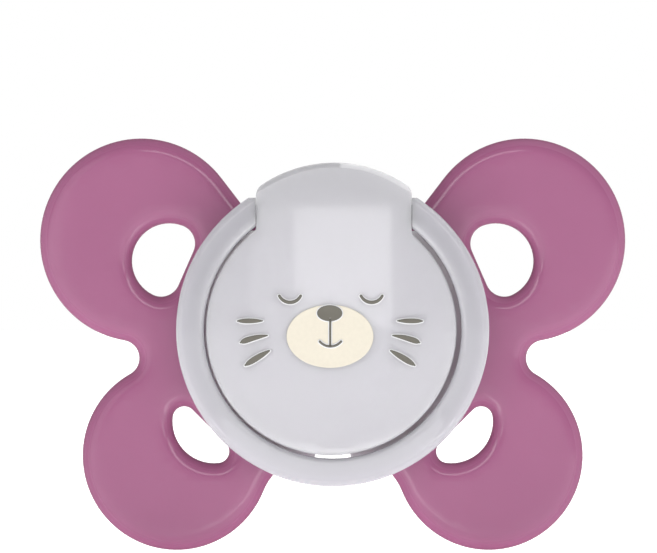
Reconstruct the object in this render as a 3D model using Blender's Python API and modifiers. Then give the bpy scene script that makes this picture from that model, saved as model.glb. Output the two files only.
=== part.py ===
"""Pacifier with a butterfly shield, a hollow teat and a folding ring handle.

Run with: blender --background --python part.py

Frame, in metres: the origin is the centre of the knob's flat front face, on the teat's axis. -Y looks out of the
front, +Y runs along the teat into the mouth, +Z is up and +X is the wearer's left. Depths below are distances along +Y.
Outlines are seen from the front, as (x, z) points.
"""

import math

import bmesh
import bpy
from mathutils import Matrix, Vector

# Mesh fineness
ARC_STEP_DEG = 10.0
ROUND_STEPS = 1
TURN_STEPS = 48
RING_STEPS = 72
ROD_SEGMENTS = 24
WELD = 1e-6

# Knob: a round face with a hinge tab on top of it
FACE_RADIUS = 0.0124
FACE_CROWN_RADIUS = 0.110
FLAT_RADIUS = 0.0071
TAB_HALF_WIDTH = 0.00775
TAB_TOP_Z = 0.01665
TAB_TOP_RADIUS = 0.0128
TAB_CORNER_RADIUS = 0.0013
KNOB_ROUND = 0.0005
CROWN_CELL = 0.0025
COVER_BACK = 0.0015
SPIGOT_RADIUS = 0.0110
SPIGOT_BORE = 0.0100
SPIGOT_BACK = 0.0024

# Knob base: carries the hinge bearings and snaps onto the shield's collar
BASE_FRONT = 0.0016
BASE_BACK = 0.0050
BASE_ROUND = 0.0003
WEB_FRONT = 0.0027
WEB_BACK = 0.0036
RECESS_RADIUS = 0.0111
NECK_RADIUS = 0.0108
NECK_BACK = 0.0059
NECK_BORE = 0.0091
SNAP_HEIGHT = 0.0003
SNAP_CLEARANCE = 0.0001
SNAP_DEPTH = 0.0051
SNAP_HALF_LENGTH = 0.0003
KEY_HALF_WIDTH = 0.0009
KEY_LOW_Z = -0.0104
KEY_HIGH_Z = -0.0094
KEY_BACK = 0.0067
KEY_CLEARANCE = 0.0001
LEDGE_TOP_Z = 0.0094
LEDGE_END_DEG = -82.0
LEDGE_ROOT = 0.0116
LEDGE_REACH = 0.0138
LEDGE_FRONT = 0.0046
LEDGE_BACK = 0.0053

# Ring handle, which swings forward and up about the axis of its two trunnions
RING_INNER_RADIUS = 0.01285
RING_OUTER_RADIUS = 0.0156
RING_BACK = 0.0044
RING_INNER_ROUND = 0.0005
RING_OUTER_ROUND = 0.0008
RING_END_X = 0.00835
EAR_TIP_X = 0.00785
EAR_TOP_Z = 0.01325
HINGE_DEPTH = 0.0033
HINGE_Z = 0.0115
TRUNNION_RADIUS = 0.00092
TRUNNION_TIP_X = 0.0064
TRUNNION_ROOT_X = 0.0091
SHOULDER_RADIUS = 0.00145
SHOULDER_ROOT_X = 0.0086
BEARING_RADIUS = 0.0010
BEARING_END_X = 0.0062

# Shield: four round lobes, a waist on each side and a notch above and below the knob
SHIELD_FRONT = 0.0060
SHIELD_THICKNESS = 0.0024
SHIELD_ROUND = 0.0010
BEND_RADIUS = 0.060
BEND_STRIP = 0.0034
UPPER_LOBE = Vector((0.01920, 0.00895))
UPPER_LOBE_RADIUS = 0.01018
LOWER_LOBE = Vector((0.01566, -0.01264))
LOWER_LOBE_RADIUS = 0.00942
WAIST_RADIUS = 0.0018
NOTCH_EDGE_DEG = 52.5
NOTCH_Z = 0.0108
NOTCH_FILLET_RADIUS = 0.0030
CHIN_EDGE_Z = -0.0124
CHIN_FILLET_RADIUS = 0.0060
COLLAR_RADIUS = 0.0090
COLLAR_FRONT = 0.0040
COLLAR_BACK = 0.0076
SEAT_RADIUS = 0.0076
SEAT_DEPTH = 0.0061
TEAT_HOLE_RADIUS = 0.0052

# Vents: round holes cut off by a straight edge that faces the knob
UPPER_VENT = Vector((0.01632, 0.0069))
UPPER_VENT_RADIUS = 0.00373
UPPER_VENT_EDGE = 0.00182
UPPER_VENT_EDGE_DEG = 203.8
UPPER_VENT_CORNER = 0.0016
LOWER_VENT = Vector((0.01187, -0.0092))
LOWER_VENT_RADIUS = 0.00415
LOWER_VENT_EDGE = -0.00070
LOWER_VENT_EDGE_DEG = 135.0
LOWER_VENT_CORNER = 0.00115

# Teat: a hollow silicone bulb with a flange that is clamped on the shield's seat
FLANGE_RADIUS = 0.0074
FLANGE_FRONT = 0.0048
FLANGE_BACK = 0.0060
TEAT_ROOT_RADIUS = 0.0050
TEAT_NECK_RADIUS = 0.0044
TEAT_NECK_DEPTH = 0.0125
TEAT_BULB_RADIUS = 0.0086
TEAT_BULB_DEPTH = 0.0262
TEAT_TIP_DEPTH = 0.0350
TEAT_WALL = 0.0022
TEAT_ROOT_BORE = 0.0036
TEAT_FLATNESS = 0.70
TEAT_RISE = 0.0022
TEAT_RINGS = 9

# Plug that locks the teat's neck in the shield
PLUG_FRONT = 0.0037
PLUG_FLANGE_BACK = 0.0047
PLUG_FLANGE_RADIUS = 0.0074
PLUG_RADIUS = 0.0034
PLUG_END = 0.0105
PLUG_BORE_RADIUS = 0.0022
PLUG_BORE_END = 0.0092
PLUG_CHAMFER = 0.0006

PARTS = bpy.data.collections.new("Pacifier")
CUTTERS = bpy.data.collections.new("Cutters")


# --- outlines -------------------------------------------------------------------------------------------------------


def on_circle(centre, radius, angle_deg):
    angle = math.radians(angle_deg)
    return Vector((centre[0] + radius * math.cos(angle), centre[1] + radius * math.sin(angle)))


def arc(centre, radius, start_deg, end_deg, step_deg=ARC_STEP_DEG):
    """Points along an arc. It runs counter-clockwise if end_deg is above start_deg."""
    count = max(2, math.ceil(abs(end_deg - start_deg) / step_deg - WELD))
    return [on_circle(centre, radius, start_deg + (end_deg - start_deg) * i / count) for i in range(count + 1)]


def bearing_deg(origin, target):
    """The direction from one point to another, in degrees from +x."""
    return math.degrees(math.atan2(target[1] - origin[1], target[0] - origin[0]))


def joined(*stretches):
    """The stretches as one list of points, without the points that two of them share."""
    points = []
    for point in (p for stretch in stretches for p in stretch):
        if not points or (Vector(point) - points[-1]).length > WELD:
            points.append(Vector(point))
    return points


def mirrored(half):
    """A right half that runs from the top to the bottom centre, closed by its mirror image."""
    left = [Vector((-p.x, p.y)) for p in reversed(half) if abs(p.x) > WELD]
    return joined(half, left)


def circle_touching(first, first_radius, second, second_radius, radius):
    """The centre of a circle that touches two others from outside, to the left of the way from first to second."""
    to_first, to_second = first_radius + radius, second_radius + radius
    way = second - first
    along = (to_first**2 - to_second**2 + way.length_squared) / (2 * way.length)
    aside = math.sqrt(to_first**2 - along**2)
    forward = way.normalized()
    return first + forward * along + Vector((-forward.y, forward.x)) * aside


def shield_outline():
    edge_way = on_circle((0, 0), 1, NOTCH_EDGE_DEG)
    edge_normal = Vector((-edge_way.y, edge_way.x))
    edge_top = UPPER_LOBE + edge_normal * UPPER_LOBE_RADIUS
    notch_z = NOTCH_Z + NOTCH_FILLET_RADIUS
    aside = NOTCH_FILLET_RADIUS - (notch_z - edge_top.y) * edge_normal.y
    notch = Vector((edge_top.x + aside / edge_normal.x, notch_z))
    waist = circle_touching(UPPER_LOBE, UPPER_LOBE_RADIUS, LOWER_LOBE, LOWER_LOBE_RADIUS, WAIST_RADIUS)
    chin_z = CHIN_EDGE_Z - CHIN_FILLET_RADIUS
    reach = LOWER_LOBE_RADIUS + CHIN_FILLET_RADIUS
    chin = Vector((LOWER_LOBE.x - math.sqrt(reach**2 - (chin_z - LOWER_LOBE.y) ** 2), chin_z))
    half = joined(
        [Vector((0, NOTCH_Z))],
        arc(notch, NOTCH_FILLET_RADIUS, -90, NOTCH_EDGE_DEG - 90),
        arc(UPPER_LOBE, UPPER_LOBE_RADIUS, NOTCH_EDGE_DEG + 90, bearing_deg(UPPER_LOBE, waist)),
        arc(waist, WAIST_RADIUS, bearing_deg(waist, UPPER_LOBE), bearing_deg(waist, LOWER_LOBE) + 360),
        arc(LOWER_LOBE, LOWER_LOBE_RADIUS, bearing_deg(LOWER_LOBE, waist), bearing_deg(LOWER_LOBE, chin)),
        arc(chin, CHIN_FILLET_RADIUS, bearing_deg(chin, LOWER_LOBE), 90),
        [Vector((0, CHIN_EDGE_Z))],
    )
    return mirrored(half)


def vent_outline(centre, radius, edge, edge_deg, corner, side):
    """A circle cut off at a distance edge from its centre, in direction edge_deg, with rounded corners."""
    inset = math.sqrt((radius - corner) ** 2 - (edge - corner) ** 2)
    towards = on_circle((0, 0), 1, edge_deg)
    along = Vector((-towards.y, towards.x))
    first = centre + towards * (edge - corner) + along * inset
    last = centre + towards * (edge - corner) - along * inset
    round_from = bearing_deg(centre, first)
    round_to = bearing_deg(centre, last)
    outline = joined(
        arc(first, corner, edge_deg, edge_deg + (round_from - edge_deg) % 360),
        arc(centre, radius, round_from, round_from + (round_to - round_from) % 360),
        arc(last, corner, round_to, round_to + (edge_deg - round_to) % 360),
    )
    return [Vector((side * p.x, p.y)) for p in outline]


def knob_outline():
    """The round face with the hinge tab, which has a crowned top and rounded corners."""
    crown = Vector((0, TAB_TOP_Z - TAB_TOP_RADIUS))
    corner_x = TAB_HALF_WIDTH - TAB_CORNER_RADIUS
    corner_rise = math.sqrt((TAB_TOP_RADIUS - TAB_CORNER_RADIUS) ** 2 - corner_x**2)
    corner = Vector((corner_x, crown.y + corner_rise))
    tab_foot_deg = math.degrees(math.acos(TAB_HALF_WIDTH / FACE_RADIUS))
    half = joined(
        arc(crown, TAB_TOP_RADIUS, 90, bearing_deg(crown, corner)),
        arc(corner, TAB_CORNER_RADIUS, bearing_deg(crown, corner), 0),
        arc((0, 0), FACE_RADIUS, tab_foot_deg, -90),
    )
    return mirrored(half)


# --- Blender helpers ------------------------------------------------------------------------------------------------


def clear_scene():
    for obj in list(bpy.data.objects):
        bpy.data.objects.remove(obj)
    for collection in (PARTS, CUTTERS):
        bpy.context.scene.collection.children.link(collection)


def material(name, colour, roughness, metallic=0.0):
    made = bpy.data.materials.new(name)
    made.use_nodes = True
    shader = made.node_tree.nodes["Principled BSDF"]
    shader.inputs["Base Color"].default_value = (*colour, 1.0)
    shader.inputs["Roughness"].default_value = roughness
    shader.inputs["Metallic"].default_value = metallic
    return made


def placed(name, mesh, collection=PARTS):
    obj = bpy.data.objects.new(name, mesh)
    collection.objects.link(obj)
    if collection == CUTTERS:
        obj.hide_render = True
        obj.display_type = "WIRE"
    return obj


def baked(obj):
    """The object with its evaluated shape as a plain mesh in world coordinates, welded, with no modifiers."""
    bpy.context.view_layer.update()
    evaluated = obj.evaluated_get(bpy.context.evaluated_depsgraph_get())
    mesh = bpy.data.meshes.new_from_object(evaluated)
    mesh.transform(obj.matrix_world)
    shape = bmesh.new()
    shape.from_mesh(mesh)
    bmesh.ops.remove_doubles(shape, verts=shape.verts, dist=WELD)
    bmesh.ops.recalc_face_normals(shape, faces=shape.faces)
    shape.to_mesh(mesh)
    shape.free()
    name, collection = obj.name, obj.users_collection[0]
    bpy.data.objects.remove(obj)
    return placed(name, mesh, collection)


def plate(name, outlines, front, back, rounding=0.0, collection=PARTS):
    """A flat plate of these outlines between two depths, with round edges of radius rounding, as a mesh."""
    curve = bpy.data.curves.new(name, "CURVE")
    curve.dimensions = "2D"
    curve.fill_mode = "BOTH"
    for outline in outlines:
        spline = curve.splines.new("POLY")
        spline.points.add(len(outline) - 1)
        for point, (x, z) in zip(spline.points, outline):
            point.co = (x, z, 0, 1)
        spline.use_cyclic_u = True
    curve.extrude = (back - front) / 2 - rounding
    curve.bevel_depth = rounding
    curve.offset = -rounding
    curve.bevel_resolution = ROUND_STEPS
    obj = placed(name, curve, collection)
    obj.rotation_euler = (math.radians(90), 0, 0)
    obj.location = (0, (front + back) / 2, 0)
    return baked(obj)


def turned(name, profile, collection=PARTS, steps=TURN_STEPS):
    """A solid turned about the teat's axis. The profile's (radius, depth) points run forward along its outside."""
    mesh = bpy.data.meshes.new(name)
    edges = [(i, i + 1) for i in range(len(profile) - 1)]
    if profile[0][0] > 0:
        edges.append((len(profile) - 1, 0))
    mesh.from_pydata([(radius, 0, depth) for radius, depth in profile], edges, [])
    obj = placed(name, mesh, collection)
    obj.rotation_euler = (math.radians(-90), 0, 0)
    screw = obj.modifiers.new("Turn", "SCREW")
    screw.axis = "Z"
    screw.steps = screw.render_steps = steps
    screw.use_merge_vertices = True
    screw.merge_threshold = WELD
    screw.use_normal_calculate = True
    return baked(obj)


def block(name, low, high):
    shape = bmesh.new()
    bmesh.ops.create_cube(shape, size=1)
    for vertex in shape.verts:
        vertex.co = Vector(low[i] if vertex.co[i] < 0 else high[i] for i in range(3))
    mesh = bpy.data.meshes.new(name)
    shape.to_mesh(mesh)
    shape.free()
    return placed(name, mesh, CUTTERS)


def cross_rod(name, radius, from_x, to_x):
    """A round rod on the hinge axis."""
    shape = bmesh.new()
    bmesh.ops.create_cone(
        shape, cap_ends=True, segments=ROD_SEGMENTS, radius1=radius, radius2=radius, depth=abs(to_x - from_x)
    )
    mesh = bpy.data.meshes.new(name)
    shape.to_mesh(mesh)
    shape.free()
    obj = placed(name, mesh, CUTTERS)
    obj.rotation_euler = (0, math.radians(90), 0)
    obj.location = ((from_x + to_x) / 2, HINGE_DEPTH, HINGE_Z)
    return obj


def combine(obj, operation, other):
    step = obj.modifiers.new(f"{operation.title()} {other.name}", "BOOLEAN")
    step.operation = operation
    step.object = other
    step.solver = "EXACT"


def cut(obj, *cutters):
    for cutter in cutters:
        combine(obj, "DIFFERENCE", cutter)


def add(obj, *others):
    for other in others:
        combine(obj, "UNION", other)


def finish_part(obj, surface, smooth_deg=35.0):
    obj.data.materials.clear()
    obj.data.materials.append(surface)
    obj.data.shade_smooth()
    obj.data.set_sharp_from_angle(angle=math.radians(smooth_deg))
    return obj


# --- shield ---------------------------------------------------------------------------------------------------------


def shield_sweep(x):
    """How far the bent shield lies behind its centre."""
    return x**2 / (2 * BEND_RADIUS)


def slice_mesh(mesh, axes, step):
    """Cuts a flat plate at even steps along these axes, so that it can bend."""
    shape = bmesh.new()
    shape.from_mesh(mesh)
    for axis in axes:
        reach = max(abs(v.co[axis]) for v in shape.verts)
        for i in range(-int(reach / step), int(reach / step) + 1):
            normal = Vector((0, 0, 0))
            normal[axis] = 1
            everything = shape.verts[:] + shape.edges[:] + shape.faces[:]
            bmesh.ops.bisect_plane(shape, geom=everything, dist=WELD, plane_co=normal * i * step, plane_no=normal)
    shape.to_mesh(mesh)
    shape.free()


def make_shield(surface):
    vents = [
        vent_outline(*vent, side)
        for vent in (
            (UPPER_VENT, UPPER_VENT_RADIUS, UPPER_VENT_EDGE, UPPER_VENT_EDGE_DEG, UPPER_VENT_CORNER),
            (LOWER_VENT, LOWER_VENT_RADIUS, LOWER_VENT_EDGE, LOWER_VENT_EDGE_DEG, LOWER_VENT_CORNER),
        )
        for side in (1, -1)
    ]
    back = SHIELD_FRONT + SHIELD_THICKNESS
    shield = plate("shield", [shield_outline(), *vents], SHIELD_FRONT, back, SHIELD_ROUND)
    slice_mesh(shield.data, (0,), BEND_STRIP)
    for vertex in shield.data.vertices:
        vertex.co.y += shield_sweep(vertex.co.x)
    collar = turned(
        "collar_blank",
        [(0, COLLAR_BACK), (COLLAR_RADIUS, COLLAR_BACK), *snap_bead(COLLAR_RADIUS, SNAP_HEIGHT)]
        + [(COLLAR_RADIUS, COLLAR_FRONT), (0, COLLAR_FRONT)],
        CUTTERS,
    )
    behind = SHIELD_FRONT + 2 * SHIELD_THICKNESS
    ahead = COLLAR_FRONT - 0.001
    seat = turned(
        "seat_cutter",
        [(0, behind), (TEAT_HOLE_RADIUS, behind), (TEAT_HOLE_RADIUS, SEAT_DEPTH), (SEAT_RADIUS, SEAT_DEPTH)]
        + [(SEAT_RADIUS, ahead), (0, ahead)],
        CUTTERS,
    )
    add(shield, collar)
    cut(shield, seat, key_block("key_cutter", KEY_CLEARANCE))
    return finish_part(shield, surface)


# --- teat and plug --------------------------------------------------------------------------------------------------


def ease(t):
    t = min(max(t, 0.0), 1.0)
    return t * t * (3 - 2 * t)


def teat_radius(depth, inset):
    """The turned radius of the teat at a depth, before it is flattened. inset is the wall for its inner face."""
    if depth <= TEAT_BULB_DEPTH:
        into_neck = ease((depth - FLANGE_BACK) / (TEAT_NECK_DEPTH - FLANGE_BACK))
        into_bulb = ease((depth - TEAT_NECK_DEPTH) / (TEAT_BULB_DEPTH - TEAT_NECK_DEPTH))
        root_to_neck = TEAT_ROOT_RADIUS + (TEAT_NECK_RADIUS - TEAT_ROOT_RADIUS) * into_neck
        return root_to_neck + (TEAT_BULB_RADIUS - TEAT_NECK_RADIUS) * into_bulb - inset
    into_tip = (depth - TEAT_BULB_DEPTH) / (TEAT_TIP_DEPTH - inset - TEAT_BULB_DEPTH)
    return (TEAT_BULB_RADIUS - inset) * math.sqrt(max(0.0, 1 - into_tip**2))


def teat_wall_line(inset):
    """(radius, depth) points from the tip forward to the shield."""
    tip_length = TEAT_TIP_DEPTH - inset - TEAT_BULB_DEPTH
    tip = [TEAT_BULB_DEPTH + tip_length * math.cos(math.radians(90 * i / TEAT_RINGS)) for i in range(TEAT_RINGS)]
    body_length = TEAT_BULB_DEPTH - FLANGE_BACK
    body = [TEAT_BULB_DEPTH - body_length * i / TEAT_RINGS for i in range(TEAT_RINGS)]
    line = [(teat_radius(depth, inset), depth) for depth in tip + body]
    return [(0, line[0][1])] + line[1:]


def flatten_teat(mesh):
    """Turns the round bulb into an orthodontic one: wide, flat, and rising towards its tip."""
    for vertex in mesh.vertices:
        along = ease((vertex.co.y - SHIELD_FRONT - SHIELD_THICKNESS) / (TEAT_BULB_DEPTH - TEAT_NECK_DEPTH))
        vertex.co.z *= 1 + (TEAT_FLATNESS - 1) * along
        vertex.co.z += TEAT_RISE * ease((vertex.co.y - TEAT_NECK_DEPTH) / (TEAT_TIP_DEPTH - TEAT_NECK_DEPTH))


def make_teat(surface):
    outside = teat_wall_line(0.0)
    inside = [point for point in teat_wall_line(TEAT_WALL) if point[1] > PLUG_END]
    profile = [
        *outside,
        (TEAT_ROOT_RADIUS, FLANGE_BACK),
        (FLANGE_RADIUS, FLANGE_BACK),
        (FLANGE_RADIUS, FLANGE_FRONT),
        (TEAT_ROOT_BORE, FLANGE_FRONT),
        (TEAT_ROOT_BORE, PLUG_END - 0.0002),
        *reversed(inside),
    ]
    teat = turned("teat", profile)
    flatten_teat(teat.data)
    return finish_part(teat, surface, smooth_deg=50)


def make_plug(surface):
    profile = [
        (0, PLUG_END),
        (PLUG_RADIUS - PLUG_CHAMFER, PLUG_END),
        (PLUG_RADIUS, PLUG_END - PLUG_CHAMFER),
        (PLUG_RADIUS, PLUG_FLANGE_BACK),
        (PLUG_FLANGE_RADIUS, PLUG_FLANGE_BACK),
        (PLUG_FLANGE_RADIUS, PLUG_FRONT),
        (PLUG_BORE_RADIUS, PLUG_FRONT),
        (PLUG_BORE_RADIUS, PLUG_BORE_END),
        (0, PLUG_BORE_END),
    ]
    return finish_part(turned("teat_plug", profile), surface)


# --- knob -----------------------------------------------------------------------------------------------------------


def crown_depth(radius):
    """How far the crowned front lies behind its flat centre, at a distance from the teat's axis."""
    return max(0.0, radius**2 - FLAT_RADIUS**2) / (2 * FACE_CROWN_RADIUS)


def snap_bead(radius, height):
    """(radius, depth) points of the snap bead on the shield's collar, or of the groove for it in the knob."""
    return [
        (radius, SNAP_DEPTH + SNAP_HALF_LENGTH + height),
        (radius + height, SNAP_DEPTH + SNAP_HALF_LENGTH),
        (radius + height, SNAP_DEPTH - SNAP_HALF_LENGTH),
        (radius, SNAP_DEPTH - SNAP_HALF_LENGTH - height),
    ]


def key_block(name, clearance):
    """The key below the teat that keeps the knob upright on the shield."""
    half_width = KEY_HALF_WIDTH + clearance
    low = (-half_width, BASE_BACK - 0.0005, KEY_LOW_Z - clearance)
    return block(name, low, (half_width, KEY_BACK + clearance, KEY_HIGH_Z + clearance))


def make_cover(surface):
    """The front cap: a crowned plate with a flat centre, and a spigot that plugs into the base."""
    cover = plate("knob_cover", [knob_outline()], 0.0, COVER_BACK, KNOB_ROUND)
    slice_mesh(cover.data, (0, 2), CROWN_CELL)
    for vertex in cover.data.vertices:
        share = 1 - min(vertex.co.y / (COVER_BACK - KNOB_ROUND), 1.0)
        vertex.co.y += share * crown_depth(math.hypot(vertex.co.x, vertex.co.z))
    spigot = turned(
        "spigot_blank",
        [(SPIGOT_BORE, SPIGOT_BACK), (SPIGOT_RADIUS, SPIGOT_BACK)]
        + [(SPIGOT_RADIUS, COVER_BACK - 0.0003), (SPIGOT_BORE, COVER_BACK - 0.0003)],
        CUTTERS,
    )
    add(cover, spigot)
    return finish_part(cover, surface)


def make_base(surface):
    """The rear of the knob, with a blind bearing in each side of its tab and a curved ledge on each side behind the ring."""
    base = plate("knob_base", [knob_outline()], BASE_FRONT, BASE_BACK, BASE_ROUND)
    neck = turned(
        "neck_blank",
        [(0, NECK_BACK), (NECK_RADIUS, NECK_BACK), (NECK_RADIUS, BASE_BACK - 0.0005), (0, BASE_BACK - 0.0005)],
        CUTTERS,
    )
    recess = turned(
        "recess_cutter",
        [(0, WEB_FRONT), (RECESS_RADIUS, WEB_FRONT), (RECESS_RADIUS, 0), (0, 0)],
        CUTTERS,
    )
    behind = NECK_BACK + 0.001
    socket = turned(
        "socket_cutter",
        [(0, behind), (NECK_BORE, behind), *snap_bead(NECK_BORE, SNAP_HEIGHT), (NECK_BORE, WEB_BACK), (0, WEB_BACK)],
        CUTTERS,
    )
    outer_top, inner_top = (math.degrees(math.asin(LEDGE_TOP_Z / radius)) for radius in (LEDGE_REACH, LEDGE_ROOT))
    sector = joined(
        arc((0, 0), LEDGE_REACH, outer_top, LEDGE_END_DEG), arc((0, 0), LEDGE_ROOT, LEDGE_END_DEG, inner_top)
    )
    ledges = [
        plate(f"ledge_blank_{i}", [[(side * x, z) for x, z in sector]], LEDGE_FRONT, LEDGE_BACK, collection=CUTTERS)
        for i, side in enumerate((1, -1))
    ]
    bearings = [
        cross_rod(f"bearing_cutter_{i}", BEARING_RADIUS, side * BEARING_END_X, side * 2 * TAB_HALF_WIDTH)
        for i, side in enumerate((1, -1))
    ]
    add(base, neck, key_block("key_blank", 0.0), *ledges)
    cut(base, recess, socket, *bearings)
    return finish_part(base, surface)


def make_ring(surface):
    """An open ring on shouldered trunnions, whose ends reach the knob's tab with an ear. Its origin is on the hinge axis."""
    inner, outer = RING_INNER_RADIUS, RING_OUTER_RADIUS
    small, large = RING_INNER_ROUND, RING_OUTER_ROUND
    front_inner = crown_depth(inner)
    front_outer = crown_depth(outer)
    section = joined(
        arc((outer - large, RING_BACK - large), large, 90, 0, 30),
        arc((outer - large, front_outer + large), large, 0, -90, 30),
        arc((inner + small, front_inner + small), small, -90, -180, 45),
        arc((inner + small, RING_BACK - small), small, 180, 90, 45),
    )
    ring = turned("ring_handle", section, steps=RING_STEPS)
    hinge = Vector((0, HINGE_DEPTH, HINGE_Z))
    ring.data.transform(Matrix.Translation(-hinge))
    ring.location = hinge
    top = 2 * RING_OUTER_RADIUS
    gap = block("ring_gap", (-EAR_TIP_X, -0.01, 0), (EAR_TIP_X, 0.02, top))
    above_ears = block("above_ears", (-RING_END_X, -0.01, EAR_TOP_Z), (RING_END_X, 0.02, top))
    behind_ears = block("behind_ears", (-RING_END_X, HINGE_DEPTH, 0), (RING_END_X, 0.02, top))
    rods = [
        cross_rod(f"{name}_{i}", radius, side * tip_x, side * root_x)
        for i, side in enumerate((1, -1))
        for name, radius, tip_x, root_x in (
            ("shoulder", SHOULDER_RADIUS, EAR_TIP_X, SHOULDER_ROOT_X),
            ("trunnion", TRUNNION_RADIUS, TRUNNION_TIP_X, TRUNNION_ROOT_X),
        )
    ]
    cut(ring, gap, above_ears, behind_ears)
    add(ring, *rods)
    return finish_part(ring, surface)


def main():
    clear_scene()
    soft_pink = material("shield_pink", (0.43, 0.145, 0.28), 0.35)
    clear_silicone = material("teat_silicone", (0.80, 0.80, 0.76), 0.20)
    milky_plastic = material("knob_grey", (0.62, 0.62, 0.66), 0.30)
    natural_plastic = material("plug_natural", (0.78, 0.78, 0.76), 0.45)
    make_shield(soft_pink)
    make_teat(clear_silicone)
    make_plug(natural_plastic)
    make_base(milky_plastic)
    make_cover(milky_plastic)
    make_ring(milky_plastic)


main()
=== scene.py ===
"""The pacifier's looks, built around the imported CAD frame.

Everything here is in the frame of the CAD: the origin is the centre of the knob's front face, -Y looks out
of the front, +Y runs along the teat into the mouth and +Z is up. A depth is a distance along +Y. Lengths are
in millimetres until a mesh is finished. Outlines are seen from the front, as rows of
(x, z, normal x, normal z) whose normals point out of the material, or for a round boss towards its centre.
Profiles are rows of (inset, depth) or (radius, depth).
"""

import math

import bmesh
import bpy
import numpy as np
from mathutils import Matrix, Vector
from mathutils.geometry import delaunay_2d_cdt


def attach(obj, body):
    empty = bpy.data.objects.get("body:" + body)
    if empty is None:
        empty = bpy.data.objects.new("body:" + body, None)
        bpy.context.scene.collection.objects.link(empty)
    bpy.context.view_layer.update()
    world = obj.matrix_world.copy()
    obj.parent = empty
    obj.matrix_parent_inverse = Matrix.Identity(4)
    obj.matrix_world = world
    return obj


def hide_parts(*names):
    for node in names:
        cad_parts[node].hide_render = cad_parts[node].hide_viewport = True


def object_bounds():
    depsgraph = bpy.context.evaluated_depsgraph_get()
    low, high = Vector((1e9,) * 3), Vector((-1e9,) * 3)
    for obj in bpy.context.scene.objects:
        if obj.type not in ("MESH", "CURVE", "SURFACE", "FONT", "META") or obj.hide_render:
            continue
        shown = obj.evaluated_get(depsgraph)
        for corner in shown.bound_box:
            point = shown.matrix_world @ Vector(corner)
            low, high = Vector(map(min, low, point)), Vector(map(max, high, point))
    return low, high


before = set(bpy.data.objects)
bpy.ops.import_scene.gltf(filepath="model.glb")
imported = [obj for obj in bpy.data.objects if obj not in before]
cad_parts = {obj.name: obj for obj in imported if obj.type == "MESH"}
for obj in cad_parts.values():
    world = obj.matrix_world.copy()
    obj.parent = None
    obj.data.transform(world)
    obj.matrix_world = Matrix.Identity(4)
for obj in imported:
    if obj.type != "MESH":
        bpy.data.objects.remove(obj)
cad_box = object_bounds()

MM = 0.001
# points closer than this are one point
TOUCHING = 1e-4

# Meshes: steps along outlines and turns, and the grid inside flat faces
SPACING = 0.6
VENT_SPACING = 0.45
FINE_SPACING = 0.25
CORNER_SPACING, FOOT_SPACING = 0.15, 0.08
ROUND_SPACING = 0.5
MAX_STEP_DEG = 12
TURN_STEPS = 128
CELL = 0.9
HIDDEN_CELL = 2.0
SMOOTH_DEG = 32.0

# Knob: a round face with a hinge tab on top of it
FACE_RADIUS = 12.48
FACE_X = -0.15
TAB_X = 0.12
CROWN_RADIUS = 163.0
TAB_HALF_WIDTH = 7.75
TAB_TOP_Z = 16.65
TAB_TOP_RADIUS = 12.8
TAB_CORNER = 1.3
TAB_FOOT = 0.3
FACE_EDGE, TAB_EDGE = 0.3, 0.12
TAB_EDGE_Z, TAB_EDGE_BLEND = 9.0, 0.6
TAB_BEVEL, TAB_BEVEL_ROUND = ((0.62, 0.0), (0.5, 0.0), (0.0, 0.46), (0.0, 0.52)), 0.08
TAB_BEVEL_Z, TAB_BEVEL_BLEND = 13.4, 1.2
COVER_BACK, COVER_BACK_EDGE = 1.5, 0.1
SPIGOT_RADIUS = 11.0
SPIGOT_BORE = 10.0
SPIGOT_BACK = 2.4
BASE_FRONT = 1.6
BASE_BACK = 5.0
BASE_EDGE = 0.3
RECESS_RADIUS = 11.1
WEB_FRONT = 2.7
WEB_BACK = 3.6
NECK_RADIUS = 10.8
NECK_BACK = 5.9
NECK_BORE = 9.1
HIDDEN_CHAMFER, NECK_BORE_CHAMFER = 0.15, 0.1
SNAP_DEPTH = 5.1
SNAP_HEIGHT = 0.3
SNAP_SLOPE = 0.3

# A key on the knob's back, in a pocket of the shield
KEY_HALF_WIDTH = 0.9
KEY_LOW_Z, KEY_HIGH_Z = -10.4, -9.4
KEY_FRONT, KEY_BACK = 4.5, 6.7
KEY_CLEARANCE = 0.1

# Ring handle
RING_INNER = 12.8
RING_OUTER = 15.6
RING_BACK = 4.4
RING_INNER_ROUND, RING_OUTER_ROUND, RING_SPACING = 0.5, 0.8, 0.12
RING_END_X = 8.35
RING_END_ROLL = 0.05
RING_STEPS = 220
EAR_GAP = 0.03
EAR_BACK = 2.3
EAR_TOP_Z = 13.15
# the cuts that shape the ears reach past the ends of the ring
CUT_X, CUT_LOW_Z, CUT_HIGH_Z = 7.0, 8.0, 15.0
CUT_FRONT, CUT_BACK = -2.0, 8.0
LEDGE_FRONT, LEDGE_BACK = 4.6, 5.3
LEDGE_REACH, LEDGE_ROOT = 13.8, 11.6
LEDGE_TOP_Z, LEDGE_END_DEG = 9.85, -82.0
HINGE_DEPTH = 3.3
HINGE_Z = 11.5
TRUNNION_RADIUS, TRUNNION_CHAMFER = 0.92, 0.15
TRUNNION_TIP_X, TRUNNION_ROOT_X = 6.4, 9.1
SHOULDER_RADIUS, SHOULDER_CHAMFER = 1.45, 0.1
SHOULDER_TIP_X, SHOULDER_ROOT_X = 7.95, 8.6
BEARING_RADIUS, BEARING_CHAMFER = 1.0, 0.1
BEARING_END_X, BEARING_MOUTH_X = 6.2, 9.0

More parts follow.
